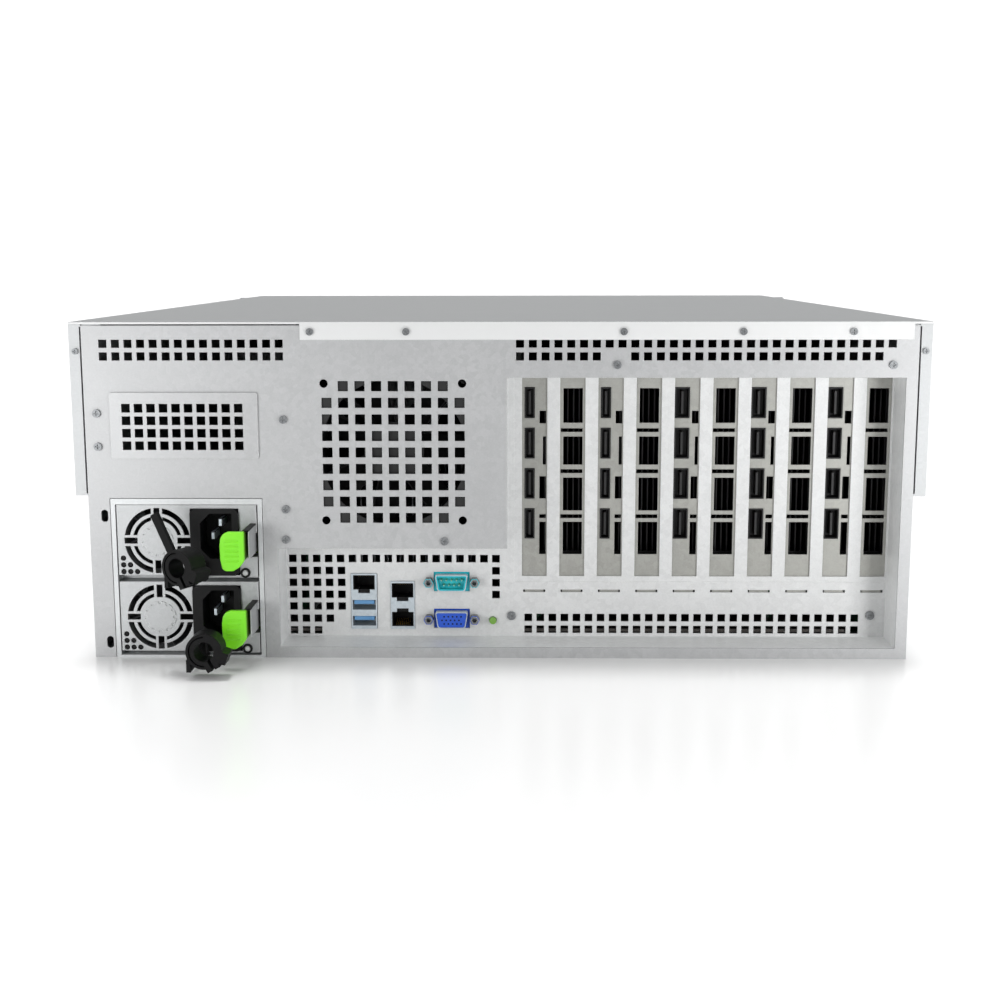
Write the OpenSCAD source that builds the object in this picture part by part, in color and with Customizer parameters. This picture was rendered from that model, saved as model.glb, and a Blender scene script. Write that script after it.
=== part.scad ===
// 4U rack server for five double-width graphics cards, seen from its rear face.
// X runs along the rack's width, Y from the rear face to the front, Z up.
// The origin is under the middle of the body, on the face that it rests on.

/* [Chassis] */
// Width of the body over its side walls
body_w = 430; // [428:1:434]
// Height of the body, four rack units less clearance
body_h = 177; // [176:0.5:177.5]
// Depth of the body from rear panel to front panel
body_d = 600; // [600:5:660]
// Thickness of the sheet steel
sheet = 1.2; // [1.2:0.1:1.4]
// Width of each shoulder beside the upper half of the body
shoulder_w = 6.4; // [6:0.2:8]
// Height of each shoulder
shoulder_h = 90; // [80:1:95]
// How far the clamps stand out behind and the handles in front
reach = 46; // [46:1:50]

/* [Rear recess] */
// Depth of the recess that holds the ports and the card slots
recess_d = 27; // [24:1:30]
// Left edge of the recess
recess_left = -116; // [-118:0.5:-114]
// Right edge of the recess
recess_right = 209; // [208:0.5:210]
// Height of the recess's bottom lip
recess_lip = 5.6; // [5:0.2:6]
// Height of the recess's top over the card slots
recess_top = 148.4; // [147:0.2:149]
// Height of the recess's top over the ports
port_top = 59; // [58:0.5:60]
// Left edge of the recess's tall part
slots_left = 4.5; // [4:0.1:5]

/* [Vents] */
// Spacing of the square vent holes
vent_pitch = 6.56; // [6.5:0.01:6.6]
// Side of a square vent hole
vent_side = 4.2; // [3.8:0.1:4.6]
// Spacing of the square holes in front of the rear fan
grille_pitch = 8.6; // [8.4:0.1:8.8]
// Side of a square hole in front of the rear fan
grille_side = 5.3; // [5:0.1:5.6]

/* [Power supplies] */
// Width of a power supply module
psu_w = 73.5; // [73:0.1:73.8]
// Height of a power supply module
psu_h = 39.6; // [39.2:0.1:39.6]
// Length of a power supply module
psu_d = 185; // [180:1:190]
// Middle of the power supply bay
psu_x = -163.8; // [-164:0.1:-163.6]

/* [Cards] */
// Spacing of the card slots
slot_pitch = 20.32; // [20.32]
// Middle of the leftmost card slot
slot_x = 18.7; // [18.4:0.1:19]
// Width of each opening in the slot frame
slot_w = 13.5; // [13:0.1:14]
// Length of a graphics card
card_d = 267; // [240:1:270]

/* [Fans] */
// Frame width of the rear fan
rear_fan_w = 80; // [80]
// Frame width of each fan in the fan wall
wall_fan_w = 120; // [120]
// Middle of the rear fan across the body
rear_fan_x = -54.6; // [-56:0.1:-53]
// Height of the rear fan's middle
rear_fan_z = 109.7; // [109:0.1:110]

/* [Front] */
// Spacing of the drive bays
bay_pitch = 105; // [105:0.5:105.5]
// Height of a drive bay
bay_h = 31; // [31:0.5:34]
// Length of a drive carrier behind its front
tray_d = 150; // [148:1:155]
// Overall width over the rack ears
ears_w = 482.6; // [482.6]

/* [Hidden] */
$fn = 48;

steel = "#c4c6c8";
galvanised = "#b4b8ba";
black = "#1c1c1e";
board_green = "#23543a";

half_w = body_w / 2;
rear_y = -body_d / 2;
front_y = body_d / 2;
rear_in = rear_y + sheet;
front_in = front_y - sheet;
lid_z = body_h - sheet;
flange_w = 10;
shadow_gap = 0.6;

// Recess: the plate at its back carries the ports and the slot frame
back_y = rear_y + recess_d;
board_y = back_y + sheet;
frame_left = slots_left + 3.2;
frame_foot = 36;
slot_foot = 39;
tab_z = 30.8;
bracket_t = 0.9;
bracket_y = board_y;
card_y = bracket_y + bracket_t;
bracket_top = recess_top + sheet;

// Power supply bay: two modules over each other in a sheet cage
bay_gap = 0.65;
bay_w = psu_w + 2 * bay_gap;
bay_left = psu_x - bay_w / 2;
bay_right = psu_x + bay_w / 2;
module_gap = 0.2;
cage_bay_h = psu_h + 2 * module_gap;
cage_t = 1;
cage_flange = 2.4;
flange_seam = 0.3;
lower_psu_z = sheet + module_gap;
upper_psu_z = lower_psu_z + cage_bay_h + cage_t;
cage_top = sheet + 2 * cage_bay_h + 2 * cage_t;
psu_left = psu_x - psu_w / 2;
psu_right = psu_x + psu_w / 2;
psu_fan_x = psu_left + 21;
psu_fan_up = 20.6;
psu_fan_r = 17.4;
inlet_x = -149.2;
inlet_up = 19.9;
socket_x = -148.2;
socket_up = 23.2;
latch_x = -129.6;
latch_y = rear_y + 9;
latch_up = 18.4;
latch_h = 21;
latch_reach = 25;
pad_w = 12.4;
anchor_x = -156;
anchor_up = 5;
anchor_y = rear_y - 4.4;
clamp_r = 9.2;
clamp_bore = 5;
clamp_w = 12;

// Ports on the recess's back plate
board_z = 9.5;
board_t = 1.6;
port_front = back_y - 0.8;
lan_usb_x = -74;
twin_lan_x = -53;
dsub_x = -26.2;
com_z = 35.8;
vga_z = 15.3;
uid_x = -3.8;
uid_z = 14.4;
uid_y = board_y + 4;
uid_travel = 1.2;

// Inside
riser_z = 36.4;
fan_wall_y = 92;
fan_depth = 38;
wall_fan_z = 64;
wall_fan_pitch = 141;
cage_back = front_y - 158;
tray_w = 101;
tray_rail = 2;
tray_h = 27;
bay_z = sheet + 1;
ear_t = 3;
ear_x = ears_w / 2;
ear_hole_x = 232.55;
ear_hole_gap = 101.6;
rail_hole_z = 43;
rail_hole_y = [-220, -60, 100, 225];

// ---------- Shared shapes ----------

// A box given by two opposite corners
module block(from, to) {
    translate(from) cube(to - from);
}

// A flat shape, drawn as x and z, made a plate that starts at y
module upright(y, depth) {
    translate([0, y + depth, 0]) rotate([90, 0, 0]) linear_extrude(depth) children();
}

// A flat shape, drawn as x and y, made a plate that starts at z
module level(z, height) {
    translate([0, 0, z]) linear_extrude(height) children();
}

// A rectangle given by two opposite corners
module area(from, to) {
    translate(from) square(to - from);
}

// A rectangle with round corners
module soft_area(from, to, r) {
    translate(from + [r, 0]) square([to.x - from.x - 2 * r, to.y - from.y]);
    translate(from + [0, r]) square([to.x - from.x, to.y - from.y - 2 * r]);
    for (x = [from.x + r, to.x - r], z = [from.y + r, to.y - r]) translate([x, z]) circle(r);
}

module rod_y(x, z, y, length, r) {
    translate([x, y, z]) rotate([-90, 0, 0]) cylinder(r = r, h = length);
}

module rod_z(x, y, z, length, r) {
    translate([x, y, z]) cylinder(r = r, h = length);
}

// Square holes in rows that run right and down from the first hole's middle
module square_holes(first, cols, rows, pitch, side, skip = []) {
    for (c = [0 : cols - 1], r = [0 : rows - 1])
        if (len([for (s = skip) if (s == [c, r]) s]) == 0)
            translate(first + [c * pitch, -r * pitch]) square(side, center = true);
}

// The recess's outline, grown outwards by m
module recess_outline(m) {
    area([recess_left - m, recess_lip - m], [recess_right + m, port_top + m]);
    area([slots_left - m, recess_lip - m], [recess_right + m, recess_top + m]);
}

// A fan wheel on the y axis: a cup hub, cambered blades and its shaft
module fan_wheel(hub_r, tip_r, depth, blades, lean) {
    camber_r = depth * 1.6;
    rotate([-90, 0, 0]) {
        difference() {
            cylinder(r = hub_r, h = depth);
            translate([0, 0, 1.5]) cylinder(r = hub_r - 1.2, h = depth);
        }
        cylinder(r = 1.5, h = depth + 2);
        intersection() {
            difference() {
                cylinder(r = tip_r, h = depth);
                translate([0, 0, -1]) cylinder(r = hub_r - 0.6, h = depth + 2);
            }
            for (i = [0 : blades - 1])
                rotate(i * 360 / blades)
                    translate([0, 0, depth / 2])
                        rotate([lean, 0, 0])
                            rotate([90, 0, 90])
                                linear_extrude(tip_r + 2)
                                    blade_section(camber_r, depth * 0.95);
        }
    }
}

// A thin arc, the section of one fan blade
module blade_section(r, chord) {
    intersection() {
        translate([-r, 0]) difference() {
            circle(r + 0.6);
            circle(r - 0.6);
        }
        translate([-r / 2, -chord / 2]) square([r, chord]);
    }
}

// A square fan frame from y on, with its bore, corner holes and motor spider
module fan_frame(width, depth, y, bore_r, hub_r, hole_gap) {
    strut_w = 4;
    upright(y, depth) difference() {
        soft_area([-width / 2, -width / 2], [width / 2, width / 2], 4);
        circle(bore_r);
        for (x = [-1, 1], z = [-1, 1]) translate([x, z] * hole_gap / 2) circle(2.2);
    }
    difference() {
        union() {
            rod_y(0, 0, y + depth - 3, 3, hub_r);
            for (a = [45, 135])
                translate([0, y + depth - 1.5, 0]) rotate([0, a, 0])
                    cube([2 * bore_r + 1, 3, strut_w], center = true);
        }
        rod_y(0, 0, y + depth - 4, 5, 1.55);
    }
}

// ---------- Chassis ----------

module chassis_tub() color(galvanised) {
    difference() {
        union() {
            upright(rear_in, body_d - 2 * sheet) {
                area([-half_w, 0], [half_w, sheet]);
                for (s = [-1, 1]) {
                    area([min(s * half_w, s * (half_w - sheet)), 0],
                         [max(s * half_w, s * (half_w - sheet)), lid_z]);
                    area([min(s * half_w, s * (half_w - flange_w)), lid_z - sheet],
                         [max(s * half_w, s * (half_w - flange_w)), lid_z]);
                }
            }
            for (s = [-1, 1], y = rail_hole_y)
                translate([s * (half_w - sheet), y, rail_hole_z]) rotate([0, -s * 90, 0])
                    cylinder(r = 3.6, h = 2.4);
        }
        for (s = [-1, 1], y = rail_hole_y)
            translate([s * (half_w + 1), y, rail_hole_z]) rotate([0, -s * 90, 0])
                cylinder(r = 1.65, h = 6);
    }
}

module rear_panel() color(steel) upright(rear_y, sheet) difference() {
    area([-half_w, 0], [half_w, lid_z - shadow_gap]);
    recess_outline(0);
    // Opening for the power supply cage and its flange, down to the floor
    area([bay_left - cage_flange - flange_seam, -1],
         [bay_right + cage_flange + flange_seam, cage_top + cage_flange]);
    // Vent rows under the cover's lip
    square_holes([-204, 165.9], 15, 2, vent_pitch - 0.06, vent_side);
    square_holes([11, 165.9], 30, 2, vent_pitch, vent_side, [[7, 1], [8, 1], [29, 1]]);
    // Window behind the vent cover
    area([-197, 110], [-129, 137]);
    // Rear fan grille, its corners left out
    square_holes([rear_fan_x - 4 * grille_pitch, rear_fan_z + 4 * grille_pitch], 9, 9,
                 grille_pitch, grille_side, [[0, 0], [8, 0], [0, 8], [8, 8]]);
    for (x = [-1, 1], z = [-1, 1])
        translate([rear_fan_x + x * 35.75, rear_fan_z + z * 35.75]) circle(2.2);
    // Hook slots beside the power supplies
    for (z = [76.2, 8.2]) soft_area([-208.6, z - 3.2], [-205, z + 3.2], 1.7);
}

module recess_frame() color(steel) upright(rear_in, recess_d - sheet) difference() {
    recess_outline(sheet);
    recess_outline(0);
}

module io_panel() color(steel) upright(back_y, sheet) difference() {
    recess_outline(sheet);
    area([frame_left, frame_foot], [recess_right + 2 * sheet, recess_top + 2 * sheet]);
    // Vent holes round the ports
    square_holes([-112.6, 48.5], 18, 1, 6.5, vent_side);
    square_holes([-112.6, 41.8], 5, 4, 6.6, vent_side);
    square_holes([-112.6, 15.2], 4, 1, 6.6, vent_side);
    square_holes([-112.6, 8.6], 3, 1, 6.6, vent_side);
    square_holes([-2.1, 41.8], 1, 3, 6.6, vent_side);
    // Vent strip under the card slots
    square_holes([15.5, 15.9], 28, 2, 6.57, vent_side);
    // Slots for the tongues of the card brackets
    for (i = [0 : 9])
        translate([slot_x + i * slot_pitch, tab_z]) square([12, 1.4], center = true);
    // Port openings
    area([lan_usb_x - 7.2, board_z], [lan_usb_x + 7.2, 40.3]);
    area([twin_lan_x - 6.6, board_z], [twin_lan_x + 6.6, 36.1]);
    for (z = [com_z, vga_z]) {
        area([dsub_x - 9.8, z - 5.4], [dsub_x + 9.8, z + 5.4]);
        for (s = [-1, 1]) translate([dsub_x + s * 12.5, z]) circle(1.7);
    }
    translate([uid_x, uid_z]) circle(2.1);
}

module slot_frame() color(steel) {
    upright(back_y, sheet) difference() {
        area([frame_left, frame_foot], [recess_right + sheet, bracket_top]);
        for (i = [0 : 9])
            area([slot_x + i * slot_pitch - slot_w / 2, slot_foot],
                 [min(slot_x + i * slot_pitch + slot_w / 2, recess_right), recess_top]);
    }
}

module shoulder(s) color(steel) translate([s * half_w, 0, 0]) mirror([s < 0 ? 1 : 0, 0, 0]) {
    top = lid_z;
    foot = body_h - shoulder_h;
    end_y = front_y - 56;
    seam = 0.8;
    upright(rear_y, end_y - rear_y) {
        area([shoulder_w - sheet, foot], [shoulder_w, top]);
        area([0, foot], [shoulder_w, foot + sheet]);
        area([0, top - sheet], [shoulder_w, top]);
    }
    // End plates; the rear one leaves a seam beside the rear panel
    block([seam, rear_y, foot], [shoulder_w, rear_y + sheet, top]);
    block([0, end_y - sheet, foot], [shoulder_w, end_y, top]);
}

module left_shoulder() shoulder(-1);
module right_shoulder() shoulder(1);

module top_cover() color("#9c9fa1") {
    width = half_w + shoulder_w;
    level(lid_z, sheet) area([-width, rear_y], [width, front_y]);
    block([-102, rear_y - sheet, 167.8], [212, rear_y, body_h]);
}

module screw_head(x, z, y, r) {
    difference() {
        rod_y(x, z, y - 1.2, 1.2, r);
        translate([x, y - 1, z]) cube([r * 1.2, 1, 0.5], center = true);
        translate([x, y - 1, z]) cube([0.5, 1, r * 1.2], center = true);
    }
}

module cover_screws() color("#8d8f90")
    for (x = [-96.8, -47.4, 64.1, 125, 181]) screw_head(x, 172, rear_y - sheet, 1.9);

module rear_screws() color("#8d8f90") {
    for (p = [[-208.6, 130], [-208.6, 112.7], [-111.7, 126.8], [-111.5, 79.8],
              [-111.9, 63.7], [-28.5, 62.9], [61, 155], [202, 155]])
        screw_head(p.x, p.y, rear_y, 2.1);
    for (p = [[6.3, 17], [201, 17.6]]) screw_head(p.x, p.y, back_y, 2.4);
    for (s = [-1, 1]) screw_head(s * (half_w + 3.2), 162, rear_y, 1.6);
    // Bracket screws, head down on the brackets' top flange
    for (i = [0 : 9]) rod_z(slot_x + i * slot_pitch + 5, back_y - 5, bracket_top + bracket_t, 2.2, 3);
}

module vent_cover() color("#d2d4d5") upright(rear_y - 1, 1) difference() {
    soft_area([-201.6, 106.4], [-124.7, 140.9], 1);
    square_holes([-193.2, 132.8], 10, 4, 6.5, 4.5);
}

// ---------- Rear fan ----------

module rear_fan_frame() color(black)
    translate([rear_fan_x, 0, rear_fan_z]) fan_frame(rear_fan_w, 25.4, rear_in, 38, 15, 71.5);

module rear_fan_rotor() color("#2a2a2c")
    translate([rear_fan_x, rear_in + 1.5, rear_fan_z]) fan_wheel(15.5, 37.2, 20.5, 7, 38);

// ---------- Power supplies ----------

// Sheet cage of the two bays, with a flange round its mouth
module psu_cage() color(galvanised) difference() {
    union() {
        upright(rear_y, psu_d + 3) area([bay_left - cage_t, sheet], [bay_right + cage_t, cage_top]);
        upright(rear_y, sheet)
            area([bay_left - cage_flange, 0],
                 [bay_right + cage_flange, cage_top + cage_flange - flange_seam]);
    }
    for (z = [sheet, sheet + cage_bay_h + cage_t])
        upright(rear_y - 1, psu_d + 5) area([bay_left, z], [bay_right, z + cage_bay_h]);
    // The shelf between the bays starts a little inside
    block([bay_left, rear_y - 1, sheet + 1], [bay_right, rear_y + 9, sheet + 2 * cage_bay_h]);
}

module psu_backplane() color(board_green) {
    y = rear_y + psu_d + 3;
    block([bay_left - 3, y, sheet + 1], [bay_right + 3, y + 1.6, cage_top + 3]);
    // One socket for each module's edge contacts
    for (z = [lower_psu_z, upper_psu_z]) difference() {
        block([psu_x - 27, y - 9, z + 12], [psu_x + 27, y, z + 17.6]);
        block([psu_x - 25.3, y - 10, z + 13.8], [psu_x + 25.3, y - 2, z + 15.8]);
    }
}

// Punched grille in front of a module's fan: two rings of arcs and four slots
module psu_grille() {
    bar = 1.3;
    slot = 3.2;
    difference() {
        union() {
            difference() {
                circle(psu_fan_r);
                circle(psu_fan_r - 2.8);
            }
            difference() {
                circle(psu_fan_r - 4.5);
                circle(psu_fan_r - 6.4);
            }
        }
        for (a = [0, 90])
            rotate(a) square([2 * psu_fan_r + 2, slot + 2 * bar], center = true);
    }
    for (a = [0 : 90 : 270])
        rotate(a) area([psu_fan_r - 6.9, -slot / 2], [psu_fan_r, slot / 2]);
}

module psu_case(z) color("#c9cbcc") {
    face = 1;
    fan_cavity = 22.6;
    difference() {
        block([psu_left, rear_y, z], [psu_right, rear_y + psu_d - 8, z + psu_h]);
        // Fan chamber behind the grille, and the wheel's bearing
        rod_y(psu_fan_x, z + psu_fan_up, rear_y + face, fan_cavity, psu_fan_r + 0.8);
        rod_y(psu_fan_x, z + psu_fan_up, rear_y + face, fan_cavity + 6, 1.55);
        upright(rear_y - 1, face + 2)
            translate([psu_fan_x, z + psu_fan_up]) psu_grille();
        // Small vent holes in the corner below the grille
        for (c = [0 : 2], r = [0 : 2 - c])
            rod_y(psu_left + 2.6 + c * 3.6, z + 4 + r * 3.6, rear_y - 1, 5, 1.45);
        // Toe under the face, higher below the grille, that keeps it clear of the shelf
        block([psu_left - 1, rear_y - 1, z - 1], [psu_right + 1, rear_y + 7, z + 1.2]);
        block([psu_left - 1, rear_y - 1, z - 1], [inlet_x - 15, rear_y + 7, z + 2.2]);
        // Pocket for the inlet
        block([inlet_x - 12.8, rear_y - 1, z + inlet_up - 17.8],
              [inlet_x + 12.8, rear_y + 24, z + inlet_up + 17.8]);
        // Notch for the release latch
        block([latch_x - 3.4, rear_y - 1, z + latch_up - 6.4],
              [psu_right + 1, latch_y + 5, z + latch_up + 6.4]);
    }
    rod_z(latch_x, latch_y, z + latch_up - 6.4, 12.8, 1.2);
    // Pressed disc in the middle of the grille, with a ring of dimples
    difference() {
        rod_y(psu_fan_x, z + psu_fan_up, rear_y - 0.5, 0.5, 8.4);
        for (a = [0 : 30 : 330])
            rod_y(psu_fan_x + 7.9 * cos(a), z + psu_fan_up + 7.9 * sin(a), rear_y - 1, 1, 0.9);
    }
    // Status light in the corner below the latch
    difference() {
        rod_y(-133.6, z + 3.5, rear_y - 0.8, 0.8, 2.3);
        rod_y(-133.6, z + 3.5, rear_y - 1, 0.8, 1.4);
    }
    // Edge contacts that plug into the backplane
    block([psu_x - 25, rear_y + psu_d - 8, z + 14], [psu_x + 25, rear_y + psu_d, z + 15.6]);
}

// Outline of the inlet's socket, two of its corners cut off
module inlet_socket() {
    w = 16.6;
    h = 24;
    cut = 5;
    polygon([[w / 2, -h / 2], [w / 2, h / 2], [cut - w / 2, h / 2], [-w / 2, h / 2 - cut],
             [-w / 2, cut - h / 2], [cut - w / 2, -h / 2]]);
}

module psu_inlet(z) color(black) {
    front = rear_y - 1.5;
    difference() {
        upright(front, 25.5)
            soft_area([inlet_x - 12.75, z + inlet_up - 17.75], [inlet_x + 12.75, z + inlet_up + 17.75], 3);
        upright(front - 1, 18) translate([socket_x, z + socket_up]) inlet_socket();
    }
    for (p = [[2, 7], [2, -7], [-2, 0]])
        block([socket_x + p.x - 1, front + 2, z + socket_up + p.y - 2],
              [socket_x + p.x + 1, front + 17, z + socket_up + p.y + 2]);
    // Lugs and pin that hold the cord clamp's strap
    for (s = [-1, 1])
        block([anchor_x - 2.6, anchor_y - 2.6, z + anchor_up + s * 4.1 - 0.8],
              [anchor_x + 2.6, front, z + anchor_up + s * 4.1 + 0.8]);
    rod_z(anchor_x, anchor_y, z + anchor_up - 3.3, 6.6, 1.2);
}

module psu_rotor(z) color("#9a9c9e")
    translate([psu_fan_x, rear_y + 2.2, z + psu_fan_up]) fan_wheel(10.6, psu_fan_r, 21, 7, 38);

// Release lever: a vertical hinge, a stem and the green thumb pad
module psu_latch(z) color("#6fd62c") {
    pad_y = rear_y - latch_reach;
    mid = z + latch_up;
    difference() {
        union() {
            rod_z(latch_x, latch_y, mid - 6.2, 12.4, 2.4);
            block([latch_x - 2, pad_y + 3, mid - 6.2], [latch_x, latch_y, mid + 6.2]);
        }
        rod_z(latch_x, latch_y, mid - 7, 14, 1.25);
    }
    upright(pad_y, 3) translate([latch_x - pad_w, mid])
        polygon([[0, 4], [0.3, 7], [4, latch_h / 2], [pad_w, latch_h / 2], [pad_w, -5.5],
                 [7.6, 0.6 - latch_h / 2], [3.4, 0.6 - latch_h / 2], [1.2, -3]]);
    upright(pad_y + 3, latch_reach - 8) translate([latch_x - pad_w, mid])
        polygon([[pad_w - 2, latch_h / 2], [pad_w, latch_h / 2], [pad_w, -5.5], [pad_w - 2, -8]]);
}

// Cord clamp: a toothed strap on a hinge and a split ring for the mains cord.
// It is drawn straight out from its hinge, then turned by swing. The ring grips
// the strap where its front stands out from the rear face by stand.
module cord_clamp(z, swing, stand, tail) color(black)
    translate([anchor_x, anchor_y, z + anchor_up]) rotate(swing) {
        ring_x = 8.4;
        ring_up = 8;
        front = rear_y - stand - anchor_y;
        difference() {
            union() {
                cylinder(r = 2.5, h = 6.4, center = true);
                block([-1.1, front + 2, -3.2], [1.1, 0, 3.2]);
                for (y = [-6 : -2.6 : front + 4]) translate([1.1, y, 0]) cube([1, 1.2, 4.4], center = true);
            }
            cylinder(r = 1.25, h = 8, center = true);
        }
        // Groove that parts the ring's outer band from its collar
        groove_r = 7.2;
        difference() {
            upright(front, clamp_w) translate([ring_x, ring_up]) difference() {
                circle(clamp_r);
                circle(clamp_bore);
                rotate(-62) area([0, -0.8], [clamp_r + 1, 0.8]);
            }
            upright(front - 1, 3) translate([ring_x, ring_up]) difference() {
                circle(groove_r + 0.7);
                circle(groove_r);
                area([0, -clamp_r], [clamp_r, clamp_r]);
            }
        }
        upright(front, clamp_w) translate([ring_x, ring_up]) {
            // Finger tabs on both sides of the split
            for (s = [-1, 1])
                rotate(-62) area([clamp_r - 2, min(s * 0.8, s * 3.6)],
                                 [clamp_r + 1.4, max(s * 0.8, s * 3.6)]);
            rotate(-20) area([clamp_bore + 1, -3], [clamp_r + 3, 3]);
        }
        // Free end of the strap past the ring
        if (tail > 0)
            upright(front + 6, 2.2) translate([2, 11.5]) rotate(118)
                area([0, -2.2], [tail, 2.2]);
    }

module upper_psu_case() psu_case(upper_psu_z);
module upper_psu_inlet() psu_inlet(upper_psu_z);
module upper_psu_rotor() psu_rotor(upper_psu_z);
module upper_psu_latch() psu_latch(upper_psu_z);
module upper_cord_clamp() cord_clamp(upper_psu_z, -25, reach - 10, 25);
module lower_psu_case() psu_case(lower_psu_z);
module lower_psu_inlet() psu_inlet(lower_psu_z);
module lower_psu_rotor() psu_rotor(lower_psu_z);
module lower_psu_latch() psu_latch(lower_psu_z);
module lower_cord_clamp() cord_clamp(lower_psu_z, 0, reach, 0);

// ---------- Ports and boards ----------

module motherboard() color(board_green) {
    level(board_z - board_t, board_t) area([-117, board_y], [188, board_y + 330]);
    // Standoffs between the tub's floor and the board
    for (x = [-108, 20, 150], y = [-262, -110, 50])
        rod_z(x, y, sheet, board_z - board_t - sheet, 3);
    for (y = [-190, -45]) block([-78, y, board_z], [-22, y + 56, board_z + 4]);
    // Switch behind the identification button
    block([uid_x - 3.5, uid_y + uid_travel + 0.2, board_z], [uid_x + 3.5, uid_y + 6, uid_z + 3.4]);
}

// A jack's opening with the notch for the plug's tab
module jack_opening(x, z, up) {
    area([x - 5.9, z - 4], [x + 5.9, z + 4]);
    area([x - 3.2, min(z + up * 4, z + up * 6)], [x + 3.2, max(z + up * 4, z + up * 6)]);
}

module lan_usb_stack() color("#b9bcbe") {
    difference() {
        block([lan_usb_x - 7, port_front, board_z], [lan_usb_x + 7, port_front + 22, 40.2]);
        upright(port_front - 1, 14) jack_opening(lan_usb_x, 35.4, -1);
        for (z = [22.9, 14]) upright(port_front - 1, 14)
            area([lan_usb_x - 6.3, z - 2.7], [lan_usb_x + 6.3, z + 2.7]);
    }
    for (z = [24.2, 15.3])
        block([lan_usb_x - 5.4, port_front + 1, z - 1], [lan_usb_x + 5.4, port_front + 13, z + 1]);
}

module twin_lan_stack() color("#b9bcbe") difference() {
    block([twin_lan_x - 6.5, port_front, board_z], [twin_lan_x + 6.5, port_front + 22, 36]);
    upright(port_front - 1, 14) jack_opening(twin_lan_x, 31, -1);
    upright(port_front - 1, 14) jack_opening(twin_lan_x, 15, 1);
}

// The D outline of a serial or video connector
module dsub_outline(m) {
    polygon([[-8.4 - m, 4 + m], [8.4 + m, 4 + m], [7 + m, -4 - m], [-7 - m, -4 - m]]);
}

module dsub_port(z, flange_color, hollow) color(flange_color) {
    upright(back_y + sheet, 1) area([dsub_x - 15.4, z - 5.8], [dsub_x + 15.4, z + 5.8]);
    difference() {
        upright(back_y - 5, 5 + sheet) translate([dsub_x, z]) dsub_outline(0);
        if (hollow) upright(back_y - 6, 5.5) translate([dsub_x, z]) dsub_outline(-0.6);
    }
    block([dsub_x - 9, back_y + sheet + 1, z - 5.5], [dsub_x + 9, back_y + sheet + 10, z + 5.5]);
    if (hollow)
        for (i = [0 : 8])
            rod_y(dsub_x - 5.5 + (i % 5) * 2.75 + (i > 4 ? 1.4 : 0), z + (i > 4 ? -1.4 : 1.4),
                  back_y - 4.2, 5, 0.5);
    // Jack screws on both sides
    for (s = [-1, 1]) translate([dsub_x + s * 12.5, back_y, z]) rotate([90, 0, 0]) difference() {
        union() {
            cylinder(r = 2.7, h = 5, $fn = 6);
            translate([0, 0, -sheet]) cylinder(r = 1.6, h = sheet);
        }
        translate([0, 0, 1]) cylinder(r = 1.3, h = 5);
    }
}

module com_port() {
    dsub_port(com_z, "#2aa198", true);
    // Riser that stands the upper connector on the lower one
    color(black) block([dsub_x - 9, board_y + 1, vga_z + 5.5], [dsub_x + 9, board_y + 10, com_z - 5.5]);
}
module vga_port() dsub_port(vga_z, "#3049c8", false);

module uid_button() color("#7fae4a") {
    rod_y(uid_x, uid_z, back_y - 2, uid_y - back_y + 2, 1.9);
    rod_y(uid_x, uid_z, uid_y - 1.4, 1.4, 3);
}

module cpu_heatsinks() color("#a9adb0")
    for (y = [-208, -63]) {
        block([-86, y, board_z + 4], [-14, y + 92, board_z + 9]);
        for (i = [0 : 19])
            block([-86 + i * 3.76, y, board_z + 9], [-85.2 + i * 3.76, y + 92, 76]);
    }

module memory_modules() color("#1e6b42")
    for (y = [-220, -75], i = [0 : 3]) {
        block([-115.6 + i * 7.6, y, board_z], [-109.6 + i * 7.6, y + 135, board_z + 6]);
        block([-113.3 + i * 7.6, y + 1, board_z + 6], [-112 + i * 7.6, y + 134, board_z + 33]);
    }

module gpu_riser_board() color(board_green) {
    level(riser_z - 1.6, 1.6) area([7, board_y + 4], [213, -12]);
    for (x = [20, 150], y = [-240, -110, -30]) rod_z(x, y, board_z, riser_z - 1.6 - board_z, 3);
    for (x = [200], y = [-240, -30]) rod_z(x, y, sheet, riser_z - 1.6 - sheet, 3);
    // Slot sockets, split by the groove that takes a card's edge
    for (j = [0 : 4]) {
        x = slot_x + 2 * j * slot_pitch - 6.8;
        difference() {
            block([x - 3.7, -222, riser_z], [x + 3.7, -120, riser_z + 8]);
            block([x - 0.9, -218, riser_z + 1.6], [x + 0.9, -124, riser_z + 9]);
        }
    }
}

module gpu_card(j) color("#202124") {
    c = slot_x + 2 * (j - 1) * slot_pitch;
    board_x = c - 7.6;
    // Board with the edge that sits in its socket
    block([board_x, card_y, riser_z + 9], [board_x + 1.6, card_y + card_d, 147]);
    block([board_x, -216, riser_z + 2], [board_x + 1.6, -126, riser_z + 9]);
    // Cooler: a shroud over a row of upright fins, open at both ends
    upright(card_y + port_d, card_d - port_d - 4) difference() {
        area([board_x + 1.6, riser_z + 11], [c + 28, 147]);
        for (i = [0 : 9])
            area([board_x + 4.4 + i * 3.1, riser_z + 14], [board_x + 6.7 + i * 3.1, 144.5]);
    }
}

module gpu_card_1() gpu_card(1);
module gpu_card_2() gpu_card(2);
module gpu_card_3() gpu_card(3);
module gpu_card_4() gpu_card(4);
module gpu_card_5() gpu_card(5);

port_rows = [133.1, 111.4, 89.6, 67.8];
port_h = 16.2;
function port_w(j) = j < 3 ? 5 : 7.6;
port_off = -2.6;
port_d = 12;

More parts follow.
